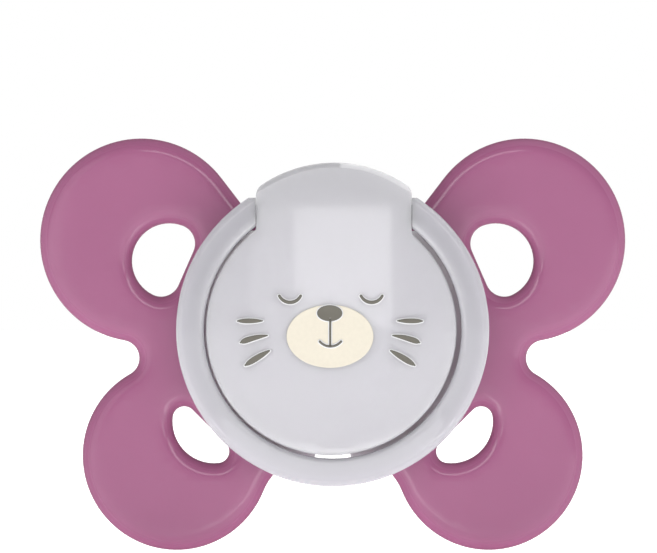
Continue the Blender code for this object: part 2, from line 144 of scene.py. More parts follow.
# Shield
SHIELD_FRONT = 6.0
SHIELD_BACK = 8.4
SHIELD_ROLL, SHIELD_ROLL_STEPS = 1.5, 18
BEND_RADIUS = 60.0
UPPER_LOBE, UPPER_LOBE_RADIUS = (19.20, 8.95), 10.18
LOWER_LOBE, LOWER_LOBE_RADIUS = (15.66, -12.64), 9.42
WAIST_RADIUS = 1.8
NOTCH_EDGE_DEG, NOTCH_Z, NOTCH_FILLET = 52.5, 10.8, 3.0
CHIN_EDGE_Z, CHIN_FILLET = -12.4, 6.0
COLLAR_RADIUS, COLLAR_FRONT = 9.0, 4.0
# (inset, depth past the shield's front) rows at the collar's foot
COLLAR_FOOT = ((-0.25, 0.0), (-0.08, -0.06), (0.0, -0.22))
SEAT_RADIUS, SEAT_DEPTH = 7.6, 6.1
COLLAR_ROUND, SEAT_ROUND = 0.12, 0.1
TEAT_HOLE_RADIUS = 5.2
TEAT_HOLE_EDGE, TEAT_HOLE_EDGE_DEPTH = 0.2, 0.25
# centre, radius, distance and direction of the straight edge, corner radius
UPPER_VENT = ((16.34, 6.86), 3.76, 1.80, 203.8, 1.9)
LOWER_VENT = ((11.87, -9.2), 4.15, -0.70, 135.0, 1.15)

# Teat and plug
FLANGE_RADIUS, FLANGE_FRONT, FLANGE_BACK = 7.4, 4.8, 6.0
TEAT_ROOT_RADIUS = 5.0
TEAT_NECK_RADIUS, TEAT_NECK_DEPTH = 4.4, 12.5
TEAT_BULB_RADIUS, TEAT_BULB_DEPTH = 8.6, 26.2
TEAT_TIP_DEPTH, TEAT_WALL = 35.0, 2.2
TEAT_ROOT_BORE, TEAT_BORE_STEP = 3.6, 0.2
TEAT_FLATNESS, TEAT_RISE = 0.70, 2.2
TEAT_RINGS, TEAT_SMOOTH_DEG = 26, 50
PLUG_RADIUS, PLUG_END, PLUG_CHAMFER = 3.4, 10.5, 0.6
PLUG_BORE, PLUG_BORE_END = 2.2, 9.2
PLUG_DISC_RADIUS, PLUG_DISC_FRONT, PLUG_DISC_BACK = 7.4, 3.7, 4.7
HIDDEN_ROUND = 0.15

# Printed face. The whiskers' ends are measured from its middle line, at x = PRINT_X
PRINT_X = -0.27
# each layer stands a little higher than the one under it
LAYER_LIFTS = (0.025, 0.037, 0.049)
BACKING_MARGIN = 0.10
INK_BORDER, INK_ROOT = 0.09, 0.08
INK_ROUND, INK_SHOULDER = 0.01, 0.012
INK_CELL, INK_ROOT_CELL = 0.35, 0.8
INK_SPACING, INK_CAP_SPACING = 0.12, 0.05
INK_SMOOTH_DEG = 60
MUZZLE = ((PRINT_X, -0.64), 4.32, 3.14)
NOSE = ((-0.30, 1.66), 1.26, 0.80)
EYE_XS, EYE_Z, EYE_RADIUS, EYE_SPAN_DEG = (-4.25, 3.87), 3.92, 1.19, (207, 333)
EYE_WIDTH, EYE_SWELL = 0.27, 0.08
LIP_X, LIP_TOP_Z, LIP_LOW_Z, LIP_WIDTH = -0.25, 1.0, -1.6, 0.21
MOUTH_CENTRE, MOUTH_RADIUS, MOUTH_SPAN_DEG, MOUTH_WIDTH = (-0.23, -0.27), 1.38, (220, 320), 0.23
# outer end, inner end, width, share of the length where it is fattest, tail as a share of the width, bow
WHISKERS = (
    ((9.19, 0.88), (6.72, 0.90), 0.49, 0.42, 0.25, 0.0),
    ((8.90, -1.26), (6.25, -0.56), 0.56, 0.22, 0.25, 0.10),
    ((8.42, -3.52), (6.05, -2.08), 0.60, 0.40, 0.30, 0.03),
)

# Colours, each as the two ends of a faint mottling
# the shield's second colour is a single colour, not a mottling: painted shade for the dark line where its
# rolled rim turns away from the light
SHIELD_PINK, SHIELD_EDGE_SHADE_PINK = ((0.309, 0.097, 0.199), (0.329, 0.105, 0.212)), (0.24, 0.06, 0.14)
KNOB_GREY = ((0.480, 0.470, 0.504), (0.496, 0.486, 0.520))
# the ring is the knob's plastic, painted darker as shade to cancel the extra light that its thin section lets
# through
RING_SHADED_GREY = ((0.396, 0.390, 0.418), (0.412, 0.406, 0.434))
PLUG_WHITE = ((0.74, 0.74, 0.71), (0.80, 0.80, 0.77))
TEAT_WHITE = ((0.93, 0.93, 0.90), (0.97, 0.97, 0.95))
# inks, as middle and border
CREAM_INK = ((0.615, 0.570, 0.475), (0.605, 0.560, 0.465))
WHITE_INK = ((0.62, 0.62, 0.63), (0.62, 0.62, 0.63))
GREY_INK = ((0.108, 0.100, 0.080), (0.055, 0.05, 0.04))

# Camera and studio. Angles are in degrees; the camera's and the lights' lengths are in metres
CAMERA_DISTANCE, VIEW_WIDTH, VIEW_MIDDLE, SENSOR_WIDTH = 1.5, 0.0657, (-0.00042, 0.008, 0.00531), 36
FLOOR_REACH, FLOOR_GAP = 6.0, 0.0002
# name, azimuth, elevation, distance, (width, height) in degrees, radiance
LIGHTS = (
    ("window", 0.8, 4.6, 2.2, (7.4, 9.2), 3.3),
    ("window_edge", -4.6, 4.4, 2.2, (3.4, 9.6), 0.9),
    ("strip", 0, 21, 2.2, (70, 9), 3.4),
    ("side", -66, 8, 1.2, (30, 30), 0.8),
    ("edge", 94, 63, 1.2, (12, 48), 5.0),
)
# name, near y, far y, width, radiance
FLOOR_CARD = ("card", -0.02, -0.06, 0.06, 2.0)
# levels of the room's light from its floor up, and what is added from its middle to the back
ROOM_LEVELS = ((0.0, 0.8), (0.5, 0.8), (0.6, 0.35), (1.0, 0.35))
REAR_LEVELS = ((0.5, 0.0), (0.65, 0.65))
# sockets of ShaderNodeMix when it mixes colours
MIX_FACTOR, MIX_A, MIX_B, MIX_RESULT = 0, 6, 7, 2

# --- outlines -------------------------------------------------------------------------------------


def ease(t):
    """0 to 1 with a soft start and a soft end."""
    t = min(max(t, 0.0), 1.0)
    return t * t * (3 - 2 * t)


def on_circle(centre, radius, angle_deg):
    angle = math.radians(angle_deg)
    return np.array((centre[0] + radius * math.cos(angle), centre[1] + radius * math.sin(angle)))


def arc(centre, radius, start_deg, end_deg, spacing=SPACING):
    """Rows along an arc, with their normals to the left of the way."""
    turn = math.radians(end_deg - start_deg)
    count = max(3, math.ceil(abs(turn) * radius / spacing), math.ceil(abs(turn) / math.radians(MAX_STEP_DEG)))
    angles = np.linspace(math.radians(start_deg), math.radians(end_deg), count + 1)
    outward = np.stack([np.cos(angles), np.sin(angles)], axis=1)
    return np.hstack([np.asarray(centre) + radius * outward, -math.copysign(1, turn) * outward])


def bearing_deg(origin, target):
    """The direction from one point to another, anticlockwise from +x."""
    return math.degrees(math.atan2(target[1] - origin[1], target[0] - origin[0]))


def joined(*stretches, spacing=SPACING):
    """The stretches as one run of rows, with straight ways between them cut into short steps."""
    longest = 1.6 * spacing
    rows = []
    for row in (r for stretch in stretches for r in stretch):
        if rows:
            way = row[:2] - rows[-1][:2]
            length = math.hypot(*way)
            if length < TOUCHING:
                continue
            steps = round(length / spacing) if length > longest else 1
            normal = np.array((-way[1], way[0])) / length
            rows += [np.concatenate([rows[-1][:2] + way / steps, normal]) for _ in range(steps - 1)]
        rows.append(row)
    return np.array(rows)


def mirrored(half):
    """A right half, from the top to the bottom centre, closed by its mirror image."""
    left = half[::-1] * (-1, 1, -1, 1)
    return np.vstack([half, left[np.abs(left[:, 0]) > TOUCHING]])


def on_side(outline, side):
    """The outline as it is for side 1, or its mirror image for side -1."""
    return outline * (side, 1, side, 1)


def circle(radius):
    """A closed round hole's outline about the teat's axis. The normals point at its centre."""
    return arc((0, 0), radius, 0, 360, ROUND_SPACING)[:-1]


def circle_touching(first, first_radius, second, second_radius, radius):
    """The centre of a circle that touches two others from outside, left of the way from first to second."""
    to_first, to_second = first_radius + radius, second_radius + radius
    way = np.subtract(second, first)
    length = math.hypot(*way)
    along = (to_first**2 - to_second**2 + length**2) / (2 * length)
    aside = math.sqrt(to_first**2 - along**2)
    forward = way / length
    return np.asarray(first) + forward * along + np.array((-forward[1], forward[0])) * aside


def shield_outline():
    """Four lobes. Straight edges join the upper ones to the notch, and fillets the lower ones to the chin."""
    edge_way = on_circle((0, 0), 1, NOTCH_EDGE_DEG)
    edge_normal = np.array((-edge_way[1], edge_way[0]))
    edge_top = UPPER_LOBE + edge_normal * UPPER_LOBE_RADIUS
    notch_z = NOTCH_Z + NOTCH_FILLET
    aside = NOTCH_FILLET - (notch_z - edge_top[1]) * edge_normal[1]
    notch = (edge_top[0] + aside / edge_normal[0], notch_z)
    waist = circle_touching(UPPER_LOBE, UPPER_LOBE_RADIUS, LOWER_LOBE, LOWER_LOBE_RADIUS, WAIST_RADIUS)
    chin_z = CHIN_EDGE_Z - CHIN_FILLET
    reach = LOWER_LOBE_RADIUS + CHIN_FILLET
    chin = (LOWER_LOBE[0] - math.sqrt(reach**2 - (chin_z - LOWER_LOBE[1]) ** 2), chin_z)
    return mirrored(
        joined(
            [np.array((0, NOTCH_Z, 0, 1))],
            arc(notch, NOTCH_FILLET, -90, NOTCH_EDGE_DEG - 90),
            arc(UPPER_LOBE, UPPER_LOBE_RADIUS, NOTCH_EDGE_DEG + 90, bearing_deg(UPPER_LOBE, waist)),
            arc(
                waist,
                WAIST_RADIUS,
                bearing_deg(waist, UPPER_LOBE),
                bearing_deg(waist, LOWER_LOBE) + 360,
                FINE_SPACING,
            ),
            arc(LOWER_LOBE, LOWER_LOBE_RADIUS, bearing_deg(LOWER_LOBE, waist), bearing_deg(LOWER_LOBE, chin)),
            arc(chin, CHIN_FILLET, bearing_deg(chin, LOWER_LOBE), 90),
            [np.array((0, CHIN_EDGE_Z, 0, -1))],
        )
    )


def vent_outline(centre, radius, edge, edge_deg, corner):
    """A round hole cut off straight, edge from its centre in direction edge_deg, with rounded corners."""
    inset = math.sqrt((radius - corner) ** 2 - (edge - corner) ** 2)
    towards = on_circle((0, 0), 1, edge_deg)
    along = np.array((-towards[1], towards[0]))
    first = centre + towards * (edge - corner) + along * inset
    last = centre + towards * (edge - corner) - along * inset
    round_from, round_to = bearing_deg(centre, first), bearing_deg(centre, last)
    rows = joined(
        arc(first, corner, edge_deg, edge_deg + (round_from - edge_deg) % 360, FINE_SPACING),
        arc(centre, radius, round_from, round_from + (round_to - round_from) % 360, VENT_SPACING),
        arc(last, corner, round_to, round_to + (edge_deg - round_to) % 360, FINE_SPACING),
    )
    return joined(rows, [rows[0]])[:-1]


def knob_half(side):
    """One side of the knob, drawn as a right half, from the top of its tab to the bottom of its face."""
    tab_x, face_x = side * TAB_X, side * FACE_X
    crown = (tab_x, TAB_TOP_Z - TAB_TOP_RADIUS)
    corner_x = TAB_HALF_WIDTH - TAB_CORNER
    corner = (tab_x + corner_x, crown[1] + math.sqrt((TAB_TOP_RADIUS - TAB_CORNER) ** 2 - corner_x**2))
    foot_x = tab_x + TAB_HALF_WIDTH + TAB_FOOT
    foot = (foot_x, math.sqrt((FACE_RADIUS + TAB_FOOT) ** 2 - (foot_x - face_x) ** 2))
    return joined(
        arc(crown, TAB_TOP_RADIUS, 90, bearing_deg(crown, corner)),
        arc(corner, TAB_CORNER, bearing_deg(crown, corner), 0, CORNER_SPACING),
        arc(foot, TAB_FOOT, 180, bearing_deg(foot, (face_x, 0)) % 360, FOOT_SPACING),
        arc((face_x, 0), FACE_RADIUS, bearing_deg((face_x, 0), foot), -90),
    )


def knob_outline():
    """The round face and its tab, which has a crowned top, rounded corners and a fillet at each foot."""
    right, left = knob_half(1), on_side(knob_half(-1), -1)[::-1]
    return np.vstack([right, left[1:-1]])


# --- mesh building --------------------------------------------------------------------------------


def quarter(inset, depth, radius, from_front=True, steps=6):
    """(inset, depth) rows round a convex edge of this radius, whose corner is at inset, depth."""
    turns = [math.pi / 2 * i / steps for i in range(steps + 1)]
    rows = [(inset + radius * (1 - math.sin(t)), depth + radius * (1 - math.cos(t))) for t in turns]
    return rows if from_front else [(a, 2 * depth - b) for a, b in reversed(rows)]


def softened(points, radius):
    """A profile whose corners are rounded, by this radius or as much as its sides allow."""
    steps, side_share = 4, 0.45
    points = [np.array(p, float) for p in points]
    rows = [points[0]]
    for before, corner, after in zip(points, points[1:], points[2:]):
        back, ahead = before - corner, after - corner
        reach = min(radius, side_share * math.hypot(*back), side_share * math.hypot(*ahead))
        start = corner + back / math.hypot(*back) * reach
        end = corner + ahead / math.hypot(*ahead) * reach
        for i in range(steps + 1):
            t = i / steps
            rows.append((1 - t) ** 2 * start + 2 * t * (1 - t) * corner + t**2 * end)
    return rows + [points[-1]]


def inside(points, corners, edges):
    """Which points lie inside the closed lines of these edges, where a line within another is a hole."""
    starts, ends = corners[[a for a, _ in edges]], corners[[b for _, b in edges]]
    x, z = points[:, :1], points[:, 1:]
    straddles = (starts[:, 1] > z) != (ends[:, 1] > z)
    rise = np.where(ends[:, 1] == starts[:, 1], 1.0, ends[:, 1] - starts[:, 1])
    crossing = starts[:, 0] + (z - starts[:, 1]) * (ends[:, 0] - starts[:, 0]) / rise
    return (straddles & (x < crossing)).sum(1) % 2 == 1


class Skin:
    """A mesh in the making, as points (x, depth, z) in millimetres, their marks and faces."""

    def __init__(self):
        self.points, self.faces, self.marks = [], [], []

    def loop(self, points, mark=0.0):
        """Adds points, and returns their numbers. A mark of 1 is out on the rim, or in an ink's border."""
        first = len(self.points)
        self.points += [tuple(map(float, p)) for p in points]
        self.marks += [mark] * (len(self.points) - first)
        return list(range(first, len(self.points)))

    def bridge(self, a, b):
        """Joins two closed loops of the same length by a band of faces."""
        for i in range(len(a)):
            j = (i + 1) % len(a)
            self.faces.append((a[i], a[j], b[j], b[i]))

    def band(self, outline, profile, lift=None, marks=None):
        """Follows an outline at each (inset, depth) of a profile, and returns the first and last loops.

        lift(x, z) is how much deeper each point lies.
        """
        loops = []
        for i, (inset, depth) in enumerate(profile):
            flat = outline[:, :2] - inset * outline[:, 2:]
            rows = [(x, depth + (lift(x, z) if lift else 0), z) for x, z in flat]
            loops.append(self.loop(rows, marks[i] if marks else 0.0))
            if i:
                self.bridge(loops[-2], loops[-1])
        return loops[0], loops[-1]

    def turn(self, profile):
        """A profile of (radius, depth) points turned about the teat's axis."""
        turns = [2 * math.pi * i / TURN_STEPS for i in range(TURN_STEPS)]
        loops = []
        for radius, depth in profile:
            if radius < TOUCHING:
                loops.append(self.loop([(0, depth, 0)]) * TURN_STEPS)
            else:
                loops.append(self.loop([(radius * math.cos(t), depth, radius * math.sin(t)) for t in turns]))
        for a, b in zip(loops, loops[1:]):
            for i in range(TURN_STEPS):
                j = (i + 1) % TURN_STEPS
                self.faces.append(tuple(dict.fromkeys((a[i], a[j], b[j], b[i]))))

    def fill(self, loops, lift, cell=CELL):
        """Covers the area inside the first loop and outside the others. lift(x, z) is a new point's depth."""
        keep_off, tolerance = 0.45 * cell, 1e-6
        owner = [i for loop in loops for i in loop]
        flat = np.array([(self.points[i][0], self.points[i][2]) for i in owner])
        starts = np.cumsum([0] + [len(loop) for loop in loops])
        edges = [(a + i, a + (i + 1) % (b - a)) for a, b in zip(starts, starts[1:]) for i in range(b - a)]
        low, high = flat.min(0), flat.max(0)
        columns = np.arange(math.ceil(low[0] / cell), high[0] / cell) * cell
        lines = np.arange(math.ceil(low[1] / cell), high[1] / cell) * cell
        grid = np.array([(x, z) for x in columns for z in lines]).reshape(-1, 2)
        clear = ((grid[:, None] - flat[None]) ** 2).sum(2).min(1) > keep_off**2
        points = np.vstack([flat, grid[clear & inside(grid, flat, edges)]])
        made, _, triangles, origin, _, _ = delaunay_2d_cdt(
            [Vector(p) for p in points], edges, [], 0, tolerance, True
        )
        centres = np.array([[sum(made[i][k] for i in face) / 3 for k in (0, 1)] for face in triangles])
        kept = [face for face, within in zip(triangles, inside(centres, flat, edges)) if within]
        index = {}
        for i in sorted({i for face in kept for i in face}):
            known = [owner[s] for s in origin[i] if s < len(owner)]
            x, z = made[i]
            index[i] = known[0] if known else self.loop([(x, lift(x, z), z)])[0]
        self.faces += [tuple(index[i] for i in face) for face in kept]

    def finished(self, name, smooth_deg=SMOOTH_DEG):
        """The mesh as an object, in metres, with its normals outward."""
        mesh = bpy.data.meshes.new(name)
        mesh.from_pydata([(x * MM, y * MM, z * MM) for x, y, z in self.points], [], self.faces)
        mesh.attributes.new("rim", "FLOAT", "POINT").data.foreach_set("value", self.marks)
        shape = bmesh.new()
        shape.from_mesh(mesh)
        loose = [v for v in shape.verts if not v.link_faces]
        bmesh.ops.delete(shape, geom=loose, context="VERTS")
        bmesh.ops.recalc_face_normals(shape, faces=shape.faces)
        shape.to_mesh(mesh)
        shape.free()
        obj = bpy.data.objects.new(name, mesh)
        bpy.context.scene.collection.objects.link(obj)
        shade(obj, smooth_deg)
        return obj


def shade(obj, smooth_deg=SMOOTH_DEG):
    """Smooth shading, with a crease where faces meet at more than this angle."""
    obj.data.shade_smooth()
    obj.data.set_sharp_from_angle(angle=math.radians(smooth_deg))


def block(name, low, high):
    """A box for a Boolean step, between two corners (x, depth, z)."""
    skin = Skin()
    sides = ((low[0], low[2]), (high[0], low[2]), (high[0], high[2]), (low[0], high[2]))
    front, back = (skin.loop([(x, depth, z) for x, z in sides]) for depth in (low[1], high[1]))
    skin.bridge(front, back)
    skin.faces += [tuple(front), tuple(back)]
    return skin.finished(name)


def prism(name, outline, front, back):
    """A flat plate of this outline between two depths, with slightly broken edges."""
    edge = 0.1
    skin = Skin()
    first, last = skin.band(outline, [(edge, front), (0, front + edge), (0, back - edge), (edge, back)])
    skin.fill([first], lambda x, z: front, HIDDEN_CELL)
    skin.fill([last], lambda x, z: back, HIDDEN_CELL)
    return skin.finished(name)


def cross_rod(name, radius, from_x, to_x, chamfer):
    """A round rod on the hinge axis, with a chamfer at its first end."""
    steps = 48
    skin, side = Skin(), math.copysign(1, to_x - from_x)
    turns = [2 * math.pi * i / steps for i in range(steps)]
    loops = []
    for x, r in ((from_x, radius - chamfer), (from_x + side * chamfer, radius), (to_x, radius)):
        rows = [(x, HINGE_DEPTH + r * math.cos(t), HINGE_Z + r * math.sin(t)) for t in turns]
        loops.append(skin.loop(rows))
    for a, b in zip(loops, loops[1:]):
        skin.bridge(a, b)
    skin.faces += [tuple(loops[0]), tuple(loops[-1])]
    return skin.finished(name)


def combined(obj, steps):
    """The object after Boolean steps of (operation, other), as a plain mesh. The others are used up."""
    for operation, other in steps:
        step = obj.modifiers.new(other.name, "BOOLEAN")
        step.operation, step.object, step.solver = operation, other, "EXACT"
    bpy.context.view_layer.update()
    mesh = bpy.data.meshes.new_from_object(obj.evaluated_get(bpy.context.evaluated_depsgraph_get()))
    obj.modifiers.clear()
    obj.data = mesh
    for _, other in steps:
        bpy.data.objects.remove(other)
    shade(obj)
    return obj


# --- materials ------------------------------------------------------------------------------------


class Look:
    """A material with its Principled shader, and short ways to feed its sockets."""

    def __init__(self, name):
        self.material = bpy.data.materials.new(name)
        self.material.use_nodes = True
        self.tree = self.material.node_tree
        self.shader = self.tree.nodes["Principled BSDF"]
        self.place = self.tree.nodes.new("ShaderNodeTexCoord").outputs["Object"]

    def set(self, **values):
        """Sets the shader's own sockets, whose names have _ for a space here."""
        for socket, value in values.items():
            self.shader.inputs[socket.replace("_", " ")].default_value = value

    def link(self, output, socket):
        self.tree.links.new(output, self.shader.inputs[socket])

    def noise(self, scale, detail=2.0):
        """Noise fixed to the object, with this many cycles to the metre."""
        node = self.tree.nodes.new("ShaderNodeTexNoise")
        node.inputs["Scale"].default_value = scale
        node.inputs["Detail"].default_value = detail
        self.tree.links.new(self.place, node.inputs["Vector"])
        return node.outputs["Fac"]

    def ramp(self, source, *stops):
        """Colours or grey levels at positions along a source value."""
        node = self.tree.nodes.new("ShaderNodeValToRGB")
        points = node.color_ramp.elements
        while len(points) < len(stops):
            points.new(0.5)
        for point, (position, colour) in zip(points, stops):
            point.position = position
            point.color = (*colour, 1) if isinstance(colour, tuple) else (colour, colour, colour, 1)
        self.tree.links.new(source, node.inputs["Fac"])
        return node.outputs["Color"]

    def attribute(self, name):
        node = self.tree.nodes.new("ShaderNodeAttribute")
        node.attribute_name = name
        return node.outputs["Fac"]

    def mix(self, factor, a, b, blend="MIX"):
        node = self.tree.nodes.new("ShaderNodeMix")
        node.data_type, node.blend_type = "RGBA", blend
        for index, value in ((MIX_FACTOR, factor), (MIX_A, a), (MIX_B, b)):
            socket = node.inputs[index]
            if isinstance(value, bpy.types.NodeSocket):
                self.tree.links.new(value, socket)
            else:
                socket.default_value = (*value, 1) if isinstance(value, tuple) else value
        return node.outputs[MIX_RESULT]

    def bump(self, height, strength, distance):
        node = self.tree.nodes.new("ShaderNodeBump")
        node.inputs["Strength"].default_value = strength
        node.inputs["Distance"].default_value = distance
        self.tree.links.new(height, node.inputs["Height"])
        self.link(node.outputs["Normal"], "Normal")


def shield_plastic():
    """Glossy pink, which is duller down its rolled sides, with painted shade darkening the widest line of its
    rim.
    """
    look = Look("shield_plastic")
    face = look.ramp(look.noise(90.0, 3.0), (0.25, SHIELD_PINK[0]), (0.75, SHIELD_PINK[1]))
    painted_edge_shade = look.ramp(look.attribute("rim"), (0.8, 0.0), (1.0, 1.0))
    outside = look.ramp(look.attribute("rim"), (0.45, 0.0), (0.7, 1.0))
    # painted shade: the rim's outermost band is darkened towards a deeper pink
    look.link(look.mix(painted_edge_shade, face, SHIELD_EDGE_SHADE_PINK), "Base Color")
    gloss = look.ramp(look.noise(1400.0, 2.0), (0.3, 0.12), (0.7, 0.15))
    look.link(look.mix(outside, gloss, (0.55, 0.55, 0.55)), "Roughness")
    look.link(look.mix(outside, (0.5, 0.5, 0.5), (0.25, 0.25, 0.25)), "Specular IOR Level")
    look.bump(look.noise(260.0, 1.0), 0.04, 0.00003)
    look.set(Subsurface_Weight=0.15, Subsurface_Scale=0.0008, Subsurface_Radius=(1.0, 0.45, 0.6), IOR=1.49)
    return look.material


def milky_plastic(name, colours, roughness=0.04):
    """Translucent plastic, whose light spreads deep inside it."""
    look = Look(name)
    look.link(look.ramp(look.noise(60.0, 2.0), (0.3, colours[0]), (0.7, colours[1])), "Base Color")
    look.link(look.ramp(look.noise(900.0, 2.0), (0.3, roughness), (0.7, roughness + 0.02)), "Roughness")
    look.bump(look.noise(240.0, 1.0), 0.02, 0.00002)
    look.set(Subsurface_Weight=0.85, Subsurface_Scale=0.004, Subsurface_Radius=(1.0, 0.95, 1.0), IOR=1.49)
    return look.material


def silicone():
    """Clear silicone with a faint haze."""
    look = Look("teat_silicone")
    look.link(look.ramp(look.noise(150.0, 2.0), (0.3, TEAT_WHITE[0]), (0.7, TEAT_WHITE[1])), "Base Color")
    look.link(look.ramp(look.noise(700.0, 2.0), (0.3, 0.16), (0.7, 0.22)), "Roughness")
    look.bump(look.noise(500.0, 1.0), 0.05, 0.00003)
    look.set(Transmission_Weight=0.82, IOR=1.41, Subsurface_Weight=0.2, Subsurface_Scale=0.002)
    return look.material


def ink(name, colours):
    """Satin ink with fine wear, whose border has a colour of its own."""
    middle, border = colours
    look = Look(name)
    worn = look.ramp(look.noise(2500.0, 3.0), (0.35, 0.97), (0.65, 1.0))
    look.link(look.mix(1.0, look.mix(look.attribute("rim"), middle, border), worn, "MULTIPLY"), "Base Color")
    look.link(look.ramp(look.noise(1500.0, 2.0), (0.3, 0.28), (0.7, 0.36)), "Roughness")
    look.set(IOR=1.49)
    return look.material


def dressed(obj, material, slot, body, *nodes):
    """Gives a piece its material and its body, and hides the CAD nodes that it stands for; slot is not used."""
    obj.data.materials.clear()
    obj.data.materials.append(material)
    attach(obj, body)
    if nodes:
        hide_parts(*nodes)


# --- shield ---------------------------------------------------------------------------------------


def sweep(x, _z=0.0):
    """How far the bent shield lies behind its centre."""
    return x**2 / (2 * BEND_RADIUS)


def snap_bead(radius):
    """The profile of the bead, or of its groove, that holds the knob on the shield's collar."""
    return [
        (radius, SNAP_DEPTH + 2 * SNAP_SLOPE),
        (radius + SNAP_HEIGHT, SNAP_DEPTH + SNAP_SLOPE),
        (radius + SNAP_HEIGHT, SNAP_DEPTH - SNAP_SLOPE),
        (radius, SNAP_DEPTH - 2 * SNAP_SLOPE),
    ]


def make_shield():
    """The bent plate with its rolled edges and vents, and the collar in front with the teat's seat and hole."""
    skin = Skin()
    half = (SHIELD_BACK - SHIELD_FRONT) / 2
    turns = [math.pi * i / SHIELD_ROLL_STEPS for i in range(SHIELD_ROLL_STEPS + 1)]
    profile = [(SHIELD_ROLL * (1 - math.sin(t)), SHIELD_FRONT + half * (1 - math.cos(t))) for t in turns]
    marks = [math.sin(t) for t in turns]
    vents = [on_side(vent_outline(*vent), side) for vent in (UPPER_VENT, LOWER_VENT) for side in (1, -1)]
    fronts, backs = [], []
    for outline in (shield_outline(), *vents):
        front, back = skin.band(outline, profile, sweep, marks)
        fronts.append(front)
        backs.append(back)
    collar = circle(COLLAR_RADIUS)
    foot = [(inset, SHIELD_FRONT + past_front) for inset, past_front in COLLAR_FOOT]
    root, top_of_foot = skin.band(collar, foot, sweep)
    outer_wall = softened(
        [*snap_bead(COLLAR_RADIUS), (COLLAR_RADIUS, COLLAR_FRONT), (SEAT_RADIUS, COLLAR_FRONT)], COLLAR_ROUND
    )
    seat = softened(
        [(SEAT_RADIUS, COLLAR_FRONT), (SEAT_RADIUS, SEAT_DEPTH), (TEAT_HOLE_RADIUS, SEAT_DEPTH)], SEAT_ROUND
    )
    first, last = skin.band(collar, [(r - COLLAR_RADIUS, depth) for r, depth in outer_wall + seat[1:]])
    skin.bridge(top_of_foot, first)
    hole_edge = [
        (TEAT_HOLE_RADIUS - COLLAR_RADIUS, SHIELD_BACK - TEAT_HOLE_EDGE_DEPTH),
        (TEAT_HOLE_RADIUS + TEAT_HOLE_EDGE - COLLAR_RADIUS, SHIELD_BACK),
    ]
    hole, behind = skin.band(collar, hole_edge, sweep)
    skin.bridge(last, hole)
    aside = KEY_HALF_WIDTH + KEY_CLEARANCE
    low_z, high_z = KEY_LOW_Z - KEY_CLEARANCE, KEY_HIGH_Z + KEY_CLEARANCE
    pocket = [(-aside, low_z), (aside, low_z), (aside, high_z), (-aside, high_z)]
    rim = skin.loop([(x, SHIELD_FRONT + sweep(x), z) for x, z in pocket])
    floor = skin.loop([(x, KEY_BACK + KEY_CLEARANCE, z) for x, z in pocket])
    skin.bridge(rim, floor)
    skin.faces.append(tuple(floor))
    skin.fill([*fronts, root, rim], lambda x, z: SHIELD_FRONT + sweep(x))
    skin.fill([*backs, behind], lambda x, z: SHIELD_BACK + sweep(x))
    dressed(skin.finished("shield_plate"), shield_plastic(), "shield", "pacifier", "shield")


# --- teat and plug --------------------------------------------------------------------------------


def teat_radius(depth, inset):
    """The round teat's radius before it is flattened, less an inset into its wall."""
    if depth <= TEAT_BULB_DEPTH:
        into_neck = ease((depth - FLANGE_BACK) / (TEAT_NECK_DEPTH - FLANGE_BACK))
        into_bulb = ease((depth - TEAT_NECK_DEPTH) / (TEAT_BULB_DEPTH - TEAT_NECK_DEPTH))
        root_to_neck = TEAT_ROOT_RADIUS + (TEAT_NECK_RADIUS - TEAT_ROOT_RADIUS) * into_neck
        return root_to_neck + (TEAT_BULB_RADIUS - TEAT_NECK_RADIUS) * into_bulb - inset
    into_tip = (depth - TEAT_BULB_DEPTH) / (TEAT_TIP_DEPTH - inset - TEAT_BULB_DEPTH)
    return (TEAT_BULB_RADIUS - inset) * math.sqrt(max(0.0, 1 - into_tip**2))


def teat_wall_line(inset):
    """(radius, depth) points from the tip forward to the shield."""
    tip_length = TEAT_TIP_DEPTH - inset - TEAT_BULB_DEPTH
    shares = [i / TEAT_RINGS for i in range(TEAT_RINGS)]
    tip = [TEAT_BULB_DEPTH + tip_length * math.cos(math.radians(90 * share)) for share in shares]
    body = [TEAT_BULB_DEPTH - (TEAT_BULB_DEPTH - FLANGE_BACK) * share for share in shares]
    line = [(teat_radius(depth, inset), depth) for depth in tip + body]
    return [(0, line[0][1]), *line[1:]]


def make_teat():
    """The hollow teat and its flange, turned round first, then flattened and raised towards the tip."""
    outer = teat_wall_line(0.0)
    hollow = [(radius, depth) for radius, depth in teat_wall_line(TEAT_WALL) if depth > PLUG_END]
    foot = softened(
        [
            outer[-1],
            (TEAT_ROOT_RADIUS, FLANGE_BACK),
            (FLANGE_RADIUS, FLANGE_BACK),
            (FLANGE_RADIUS, FLANGE_FRONT),
            (TEAT_ROOT_BORE, FLANGE_FRONT),
            (TEAT_ROOT_BORE, PLUG_END - TEAT_BORE_STEP),
        ],
        HIDDEN_ROUND,
    )
    skin = Skin()
    skin.turn([*outer[:-1], *foot, *reversed(hollow)])
    for i, (x, y, z) in enumerate(skin.points):
        along = ease((y - SHIELD_BACK) / (TEAT_BULB_DEPTH - TEAT_NECK_DEPTH))
        rise = TEAT_RISE * ease((y - TEAT_NECK_DEPTH) / (TEAT_TIP_DEPTH - TEAT_NECK_DEPTH))
        skin.points[i] = (x, y, z * (1 + (TEAT_FLATNESS - 1) * along) + rise)
    dressed(skin.finished("teat_bulb", TEAT_SMOOTH_DEG), silicone(), "teat", "pacifier", "teat")


